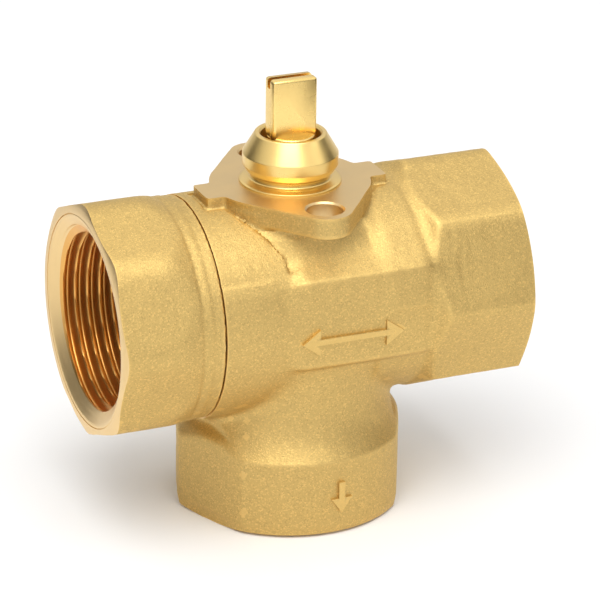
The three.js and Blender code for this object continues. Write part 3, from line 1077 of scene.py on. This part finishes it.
def arrow_outline(centre, direction, length, head, heads=(1, -1)):
    """An arrow centred on a point, with a head at one or both ends."""
    half, bar, barb = length / 2, ARROW_WIDTH / 2, head * ARROW_BARB
    outline = []
    for end in (1, -1):
        if end in heads:
            neck = half - head
            tip = [(neck, -bar), (neck, -barb), (half, 0), (neck, barb), (neck, bar)]
        else:
            tip = [(half, -bar), (half, bar)]
        outline += [(end * a, end * b) for a, b in tip]
    c, s = direction
    return [(centre[0] + c * a - s * b, centre[1] + s * a + c * b) for a, b in outline]


def flow_marks(sizes, material):
    """Raised arrows: both ways along the run on the pad, downward on the bottom port."""
    height = sizes.mark_height / MM
    front = -sizes.pad_depth / MM - height
    along = arrow_outline(RUN_ARROW_CENTRE, (1, 0), RUN_ARROW_LENGTH, RUN_ARROW_HEAD)
    crown = block("crown", (-20, front, -10), (20, 0, 10), material)
    yield raised_mark("run_arrow", along, crown, material)
    down = arrow_outline(
        OUTLET_ARROW_CENTRE, (0, -1), OUTLET_ARROW_LENGTH, OUTLET_ARROW_HEAD, heads=(1,)
    )
    top = AB_RIDGE_RADIUS + height
    profile = [(0, -40), (top, -40), (top, 0), (0, 0)]
    crown = turned_form("crown", profile, "z", sizes.turned_steps * 2, material)
    yield raised_mark("outlet_arrow", down, crown, material)


class VALVE_OT_body(bpy.types.Operator):
    """Builds the forged and machined valve body"""

    bl_idname = "valve.body"
    bl_label = "Body"

    def execute(self, context):
        sizes = context.scene.valve_sizes
        steps = sizes.turned_steps
        finishes = make_finishes(context.scene)
        points, quads = skin(
            body_form(sizes),
            (SEAM_X - GRID_MARGIN, -RIDGE_RADIUS - SIDE_MARGIN, -AXIS - GRID_MARGIN),
            (RUN_HALF + GRID_MARGIN, RIDGE_RADIUS + SIDE_MARGIN, FLANGE_TOP + GRID_MARGIN),
            sizes.grid_step / MM,
        )
        body = mesh_object("body_forging", points, quads, finishes["forged"])
        roughen(body, sizes.waviness / MM, seed=3)
        for mark in flow_marks(sizes, finishes["forged"]):
            carve(body, mark, "UNION")
        carve(body, flange_plane("plane", finishes["flange"]))
        for y in (-HOLE_SPACING, HOLE_SPACING):
            carve(body, flange_hole("hole", y, finishes["flange"]))
        carve(body, body_hollow("hollow", steps, finishes["face"]))
        carve(body, stem_passage("stem_passage", steps, finishes["flange"]))
        depth = sizes.thread_depth / MM
        carve(body, outlet_passage("outlet", depth, steps, finishes["thread"]))
        cut_port(body, (1, 0, 0), (RUN_HALF, 0, 0), sizes, finishes)
        cut_port(body, (0, 0, -1), (0, 0, -AXIS), sizes, finishes, AB_FACE_RADIUS)
        place(body, "housing", "forged_brass", "valve_body")
        return {"FINISHED"}


class VALVE_OT_neck(bpy.types.Operator):
    """Turns the polished neck that houses the stem"""

    bl_idname = "valve.neck"
    bl_label = "Neck"

    def execute(self, context):
        finishes = make_finishes(context.scene)
        foot = FLANGE_TOP - 0.3
        profile = [
            (STEM_BORE, foot),
            (NECK_BASE_RADIUS, foot, 0),
            (NECK_BASE_RADIUS, FLANGE_TOP + 0.32, 0.12),
            (6.75, FLANGE_TOP + 0.42, 0.1),
            (5.45, FLANGE_TOP + 0.62, 0.5),
            (NECK_GROOVE_RADIUS, FLANGE_TOP + 1.35, 0.3),
            (6.05, FLANGE_TOP + 1.75, 0.25),
            (NECK_BELT_RADIUS, NECK_BELT_BOTTOM, 0.3),
            (NECK_BELT_RADIUS, NECK_BELT_TOP, 0.12),
            (NECK_RIM_RADIUS, NECK_TOP - 0.12, 0.12),
            (4.85, NECK_TOP, 0.06),
            (STEM_BORE + 0.25, NECK_TOP, 0.06),
            (STEM_BORE, NECK_TOP - 0.3, 0.06),
            (STEM_BORE, foot),
        ]
        outline = rounded(profile, 0.1)[:-1]
        steps = context.scene.valve_sizes.turned_steps
        neck = turned_form("stem_neck", outline, "z", steps, finishes["neck"])
        place(neck, "housing", "turned_brass", crease=40)
        return {"FINISHED"}


def groove_profile(inner, outer, start, end):
    """The section of a square groove."""
    return [(inner, start), (outer, start), (outer, end), (inner, end)]


class VALVE_OT_connector(bpy.types.Operator):
    """Builds the screwed-in end connector with port A"""

    bl_idname = "valve.connector"
    bl_label = "End connector"

    def execute(self, context):
        sizes = context.scene.valve_sizes
        steps = sizes.turned_steps
        finishes = make_finishes(context.scene)
        points, quads = skin(
            connector_form(),
            (-RUN_HALF - GRID_MARGIN, -RIDGE_RADIUS - SIDE_MARGIN, -RIDGE_RADIUS - SIDE_MARGIN),
            (SPIGOT_END + SPARE, RIDGE_RADIUS + SIDE_MARGIN, RIDGE_RADIUS + SIDE_MARGIN),
            sizes.grid_step / MM,
        )
        connector = mesh_object("end_connector_forging", points, quads, finishes["forged"])
        roughen(connector, sizes.waviness / MM * 0.6, seed=5)
        groove = groove_profile(RING_GROOVE_RADIUS, 16, RING_GROOVE_START, RING_GROOVE_END)
        carve(connector, turned_form("groove", groove, "x", steps, finishes["face"]))
        start = -RUN_HALF + sizes.thread_depth / MM - SPARE
        passage = [
            (0, start),
            (PASSAGE_RADIUS, start),
            (PASSAGE_RADIUS, -SEAT_POCKET_FLOOR),
            (SEAT_POCKET_RADIUS, -SEAT_POCKET_FLOOR),
            (SEAT_POCKET_RADIUS, SPIGOT_END + SPARE),
            (0, SPIGOT_END + SPARE),
        ]
        carve(connector, turned_form("passage", passage, "x", steps, finishes["face"]))
        cut_port(connector, (-1, 0, 0), (-RUN_HALF, 0, 0), sizes, finishes)
        place(connector, "housing", "forged_brass", "end_connector")
        return {"FINISHED"}


class VALVE_OT_stem(bpy.types.Operator):
    """Builds the stem with its drive tang"""

    bl_idname = "valve.stem"
    bl_label = "Stem"

    def execute(self, context):
        finishes = make_finishes(context.scene)
        steps = context.scene.valve_sizes.turned_steps
        profile = [
            (0, STEM_COLLAR_BOTTOM),
            (STEM_COLLAR_RADIUS, STEM_COLLAR_BOTTOM, 0.15),
            (STEM_COLLAR_RADIUS, STEM_COLLAR_TOP, 0.15),
            (STEM_RADIUS, STEM_COLLAR_TOP, 0.1),
            (STEM_RADIUS, STEM_STEP_BOTTOM, 0.2),
            (STEM_TIP_RADIUS, STEM_STEP_TOP, 0.2),
            (STEM_TIP_RADIUS, STEM_SHOULDER_TOP, 0.3),
            (0, STEM_SHOULDER_TOP),
        ]
        shaft = turned_form("stem_shaft", rounded(profile, 0.1), "z", steps, finishes["stem"])
        for height in STEM_GROOVE_HEIGHTS:
            low, high = height - STEM_GROOVE_HALF_WIDTH, height + STEM_GROOVE_HALF_WIDTH
            groove = groove_profile(STEM_GROOVE_RADIUS, STEM_GROOVE_OUTSIDE, low, high)
            carve(shaft, turned_form("groove", groove, "z", steps, finishes["stem"]))
        carve(shaft, drive_blade(finishes["stem"]), "UNION")
        carve(shaft, drive_tang(finishes["stem"]), "UNION")
        low = (-5, TANG_SLOT_FRONT, STEM_TOP - TANG_SLOT_DEPTH)
        high = (5, TANG_SLOT_BACK, STEM_TOP + SPARE)
        carve(shaft, block("slot", low, high, finishes["stem"]))
        place(shaft, "stem", "turned_brass", "stem", crease=30)
        return {"FINISHED"}


def drive_blade(material):
    """The blade at the stem's foot that turns the ball."""
    low = (-BLADE_HALF_LENGTH, -BLADE_HALF_WIDTH, DRIVE_BOTTOM)
    high = (BLADE_HALF_LENGTH, BLADE_HALF_WIDTH, BLADE_TOP)
    blade = block("blade", low, high, material)
    soften(blade, BLADE_EDGE)
    return blade


def drive_tang(material):
    """The flat tang that the actuator turns."""
    low = (-TANG_HALF_WIDTH, -TANG_HALF_THICKNESS, TANG_FOOT)
    high = (TANG_HALF_WIDTH, TANG_HALF_THICKNESS, STEM_TOP)
    tang = block("tang", low, high, material)
    soften(tang, TANG_EDGE, segments=3)
    return tang


def soften(target, width, segments=4):
    """Rounds all the edges of a small block."""
    with editing(target) as bm:
        bmesh.ops.bevel(
            bm,
            geom=bm.edges[:],
            offset=width,
            offset_type="OFFSET",
            segments=segments,
            profile=0.5,
            affect="EDGES",
            clamp_overlap=True,
        )


class VALVE_OT_ball(bpy.types.Operator):
    """Builds the plated change-over ball"""

    bl_idname = "valve.ball"
    bl_label = "Ball"

    def execute(self, context):
        finishes = make_finishes(context.scene)
        arc = half_circle(BALL_RADIUS, BALL_ROWS)
        ball = turned_form("changeover_ball", arc, "z", BALL_STEPS, finishes["chrome"])
        mouth = math.sqrt(BALL_RADIUS**2 - BALL_PORT_RADIUS**2)
        bore = rounded(
            [
                (0, 0),
                (BALL_PORT_RADIUS, 0, 0),
                (BALL_PORT_RADIUS, mouth - 0.35, 0.8),
                (BALL_PORT_RADIUS + BALL_PORT_FLARE, mouth + 1.3, 0),
                (BALL_PORT_RADIUS + BALL_PORT_FLARE, BALL_RADIUS + 2, 0),
                (0, BALL_RADIUS + 2),
            ],
            0.2,
        )
        for direction in ((0, 0, -1), (-1, 0, 0), (0, -1, 0)):
            tool = turned_form("bore", bore, "z", BORE_STEPS, finishes["chrome"])
            carve(ball, aim(tool, direction, (0, 0, 0)))
        arc = half_circle(BALL_PORT_RADIUS, HUB_ROWS)
        carve(ball, turned_form("hub", arc, "z", BORE_STEPS, finishes["chrome"]))
        low = (-14, -BALL_SLOT_HALF_WIDTH, BALL_SLOT_FLOOR)
        high = (14, BALL_SLOT_HALF_WIDTH, 14)
        carve(ball, block("slot", low, high, finishes["chrome"]))
        place(ball, "ball", "chromed_brass", "ball", crease=35)
        return {"FINISHED"}


def half_circle(radius, rows):
    """A profile from pole to pole of a sphere, whose end points lie on the axis."""
    turns = [math.pi * i / rows for i in range(1, rows)]
    arc = [(radius * math.sin(t), -radius * math.cos(t)) for t in turns]
    return [(0, -radius), *arc, (0, radius)]


class VALVE_OT_seats(bpy.types.Operator):
    """Builds the two seat rings and the stem's thrust washer"""

    bl_idname = "valve.seats"
    bl_label = "Seats and washer"

    def execute(self, context):
        finishes = make_finishes(context.scene)
        for side, letter in ((-1, "a"), (1, "b")):
            ring = seat(f"seat_{letter}_ring", side, finishes["ptfe"])
            place(ring, "housing", "white_ptfe", f"seat_ring_{letter}", crease=35)
        low, high = node_box("thrust_washer")
        outer = (high.x - low.x) / 2
        bottom, top = low.z - AXIS, high.z - AXIS
        profile = [(WASHER_BORE, bottom), (outer, bottom), (outer, top), (WASHER_BORE, top)]
        profile = rounded([*profile, profile[0]], 0.1)[:-1]
        washer = turned_form("stem_washer", profile, "z", RING_STEPS, finishes["ptfe"])
        place(washer, "housing", "white_ptfe", "thrust_washer", crease=35)
        return {"FINISHED"}


def seat(name, side, material):
    """A seat ring whose nose is hollowed to the ball."""
    hollow = BALL_RADIUS + GAP
    inner, outer = SEAT_INNER_RADIUS, SEAT_OUTER_RADIUS
    nose = []
    for i in range(SEAT_NOSE_ROWS + 1):
        radius = inner + (outer - 0.5 - inner) * i / SEAT_NOSE_ROWS
        nose.append((radius, math.sqrt(hollow**2 - radius**2)))
    profile = [*nose, (outer, nose[-1][1] + 0.5), (outer, SEAT_BACK_X - SEAT_EDGE)]
    profile += [(outer - SEAT_EDGE, SEAT_BACK_X), (inner + SEAT_EDGE, SEAT_BACK_X)]
    profile.append((inner, SEAT_BACK_X - SEAT_EDGE))
    profile = [(radius, side * along) for radius, along in profile]
    return turned_form(name, profile, "x", SEAT_STEPS, material)


class VALVE_OT_seals(bpy.types.Operator):
    """Builds the O-rings"""

    bl_idname = "valve.seals"
    bl_label = "O-rings"

    def execute(self, context):
        finishes = make_finishes(context.scene)
        rings = (
            ("connector_o_ring", "x", "housing"),
            ("seat_o_ring_a", "x", "housing"),
            ("seat_o_ring_b", "x", "housing"),
            ("stem_o_ring_lower", "z", "stem"),
            ("stem_o_ring_upper", "z", "stem"),
        )
        for node, axis, body in rings:
            low, high = node_box(node)
            across = (high.y - low.y) / 2
            along = (low.x + high.x) / 2 if axis == "x" else (low.z + high.z) / 2 - AXIS
            section = (high.x - low.x) / 2 if axis == "x" else (high.z - low.z) / 2
            centre = across - section
            profile = [
                (centre + section * math.cos(t), along + section * math.sin(t))
                for t in np.arange(RING_SECTION_STEPS) * 2 * math.pi / RING_SECTION_STEPS
            ]
            seal = turned_form(f"{node}_moulding", profile, axis, RING_STEPS, finishes["rubber"])
            place(seal, body, "black_rubber", node, crease=60)
        return {"FINISHED"}


def make_finishes(scene):
    """Every finish once, by what it is used on."""
    colours = scene.valve_colours
    recipes = {
        "forged": ("blasted_forging", lambda: forged_brass(colours)),
        "flange": ("turned_flange", lambda: turned_brass(colours, "turned_flange")),
        # The face finish is a lit copy of the flange finish: painted light.
        "face": ("turned_face", lambda: turned_brass(colours, "turned_face", AXIS)),
        "neck": ("polished_brass", lambda: polished_brass(colours)),
        "thread": ("cut_thread", lambda: cut_thread(colours)),
        "stem": ("milled_brass", lambda: milled_brass(colours)),
        "chrome": ("chrome_plate", lambda: chrome_plate(colours)),
        "ptfe": ("waxy_ptfe", lambda: white_ptfe(colours)),
        "rubber": ("moulded_rubber", lambda: black_rubber(colours)),
    }
    return {use: bpy.data.materials.get(name) or make() for use, (name, make) in recipes.items()}


# ---- Stage ----


class VALVE_OT_stage(bpy.types.Operator):
    """Sets the floor, the light and the camera"""

    bl_idname = "valve.stage"
    bl_label = "Stage"

    def execute(self, context):
        scene = context.scene
        studio = scene.valve_studio
        scene.view_settings.view_transform = "Standard"
        make_floor(scene)
        make_sky(scene, studio.sky_strength)
        target = Vector((0, 0, AXIS * MM))
        make_light("key_light", KEY_PLACE, target, KEY_SIZE, studio.key_power)
        make_light("fill_light", FILL_PLACE, target, FILL_SIZE, studio.fill_power)
        for side in (-1, 1):
            make_flag(f"flag_{side}", studio.azimuth, side)
        make_camera(scene, studio, target)
        return {"FINISHED"}


def flat_sheet(name, corners, material):
    """One flat face of the studio, which isn't part of the valve."""
    data = bpy.data.meshes.new(name)
    data.from_pydata([tuple(corner) for corner in corners], [], [(0, 1, 2, 3)])
    data.materials.append(material)
    sheet = bpy.data.objects.new(name, data)
    bpy.context.scene.collection.objects.link(sheet)
    return sheet


def make_floor(scene):
    """A wide pale floor."""
    finish = Finish("pale_floor", tuple(scene.valve_colours.floor), 0, 0.85)
    tone = finish.blend(finish.noise(0.2, detail=2), 0.99, 1.01)
    ends = ((-1, -1), (1, -1), (1, 1), (-1, 1))
    corners = [(FLOOR_HALF * x, FLOOR_HALF * y, 0) for x, y in ends]
    floor = flat_sheet("floor", corners, finish.set(Base_Color=tone))
    floor.location.z = -FLOOR_DROP


def make_sky(scene, strength):
    """Soft white light from all round, brighter overhead than at the horizon."""
    world = bpy.data.worlds.new("studio")
    world.use_nodes = True
    tree = world.node_tree
    sky = tree.nodes["Background"]
    sky.inputs["Strength"].default_value = strength
    place_in_sky = tree.nodes.new("ShaderNodeTexCoord")
    height = tree.nodes.new("ShaderNodeSeparateXYZ")
    tree.links.new(place_in_sky.outputs["Generated"], height.inputs["Vector"])
    ramp = tree.nodes.new("ShaderNodeValToRGB")
    low, high = ramp.color_ramp.elements
    low.position, low.color = 0.0, (HORIZON_GREY, HORIZON_GREY, HORIZON_GREY, 1)
    high.position, high.color = SKY_WHITE_FROM, (1, 1, 1, 1)
    tree.links.new(height.outputs["Z"], ramp.inputs["Fac"])
    tree.links.new(ramp.outputs["Color"], sky.inputs["Color"])
    scene.world = world


def make_flag(name, azimuth, side):
    """A dark card beside the valve, out of the camera's sight, that shades the sides."""
    finish = Finish(name, (0.02, 0.018, 0.015), 0, 0.9)
    cloud = finish.noise(0.1, detail=2)
    tone = finish.blend(cloud, (0.018, 0.016, 0.014), (0.024, 0.021, 0.018))
    right = Vector((math.cos(azimuth), math.sin(azimuth), 0)) * side
    back = Vector((-right.y, right.x, 0)) * FLAG_HALF_WIDTH
    foot = right * FLAG_DISTANCE + Vector((0, 0, FLAG_FOOT))
    top = Vector((0, 0, FLAG_HEIGHT))
    corners = (foot - back, foot + back, foot + back + top, foot - back + top)
    flag = flat_sheet(name, corners, finish.set(Base_Color=tone))
    flag.visible_camera = False
    flag.visible_shadow = False


def make_light(name, where, target, size, power):
    """A square soft light that looks at the valve."""
    data = bpy.data.lights.new(name, "AREA")
    data.shape = "SQUARE"
    data.size = size
    data.energy = power
    light = bpy.data.objects.new(name, data)
    light.location = where
    light.rotation_euler = (target - Vector(where)).to_track_quat("-Z", "Y").to_euler()
    bpy.context.scene.collection.objects.link(light)


def make_camera(scene, studio, target):
    """The camera stands back along its own line of sight, a little off the stem axis."""
    azimuth, elevation, roll = studio.azimuth, studio.elevation, studio.roll
    back = Vector(
        (
            math.sin(azimuth) * math.cos(elevation),
            -math.cos(azimuth) * math.cos(elevation),
            math.sin(elevation),
        )
    )
    level = Vector((math.cos(azimuth), math.sin(azimuth), 0))
    upright = back.cross(level)
    right = level * math.cos(roll) + upright * math.sin(roll)
    up = upright * math.cos(roll) - level * math.sin(roll)
    data = bpy.data.cameras.new("camera")
    data.sensor_width = 36
    data.lens = studio.lens
    data.clip_start = 0.01
    data.clip_end = 50
    camera = bpy.data.objects.new("camera", data)
    turn = Matrix((right, up, back)).transposed().to_4x4()
    stand = target + back * studio.distance + right * studio.aim_right - up * studio.aim_down
    camera.matrix_world = Matrix.Translation(stand) @ turn
    scene.collection.objects.link(camera)
    scene.camera = camera


# ---- Panel and registration ----

MAKERS = (
    VALVE_OT_body,
    VALVE_OT_neck,
    VALVE_OT_connector,
    VALVE_OT_stem,
    VALVE_OT_ball,
    VALVE_OT_seats,
    VALVE_OT_seals,
    VALVE_OT_stage,
)


class VALVE_PT_panel(bpy.types.Panel):
    """Lists the pieces of the valve and their settings"""

    bl_idname = "VALVE_PT_panel"
    bl_label = "Zone valve"
    bl_space_type = "VIEW_3D"
    bl_region_type = "UI"
    bl_category = "Valve"

    def draw(self, context):
        layout = self.layout
        for maker in MAKERS:
            layout.operator(maker.bl_idname)
        scene = context.scene
        for group in (scene.valve_sizes, scene.valve_colours, scene.valve_studio):
            box = layout.box()
            for name in group.__annotations__:
                box.prop(group, name)


CLASSES = (ValveSizes, ValveColours, ValveStudio, *MAKERS, VALVE_PT_panel)


def register():
    for made in CLASSES:
        bpy.utils.register_class(made)
    bpy.types.Scene.valve_sizes = PointerProperty(type=ValveSizes)
    bpy.types.Scene.valve_colours = PointerProperty(type=ValveColours)
    bpy.types.Scene.valve_studio = PointerProperty(type=ValveStudio)


def unregister():
    del bpy.types.Scene.valve_studio
    del bpy.types.Scene.valve_colours
    del bpy.types.Scene.valve_sizes
    for made in reversed(CLASSES):
        bpy.utils.unregister_class(made)


def main():
    """Makes every piece and the stage."""
    register()
    bpy.ops.valve.body()
    bpy.ops.valve.neck()
    bpy.ops.valve.connector()
    bpy.ops.valve.stem()
    bpy.ops.valve.ball()
    bpy.ops.valve.seats()
    bpy.ops.valve.seals()
    bpy.ops.valve.stage()


if __name__ == "__main__":
    main()
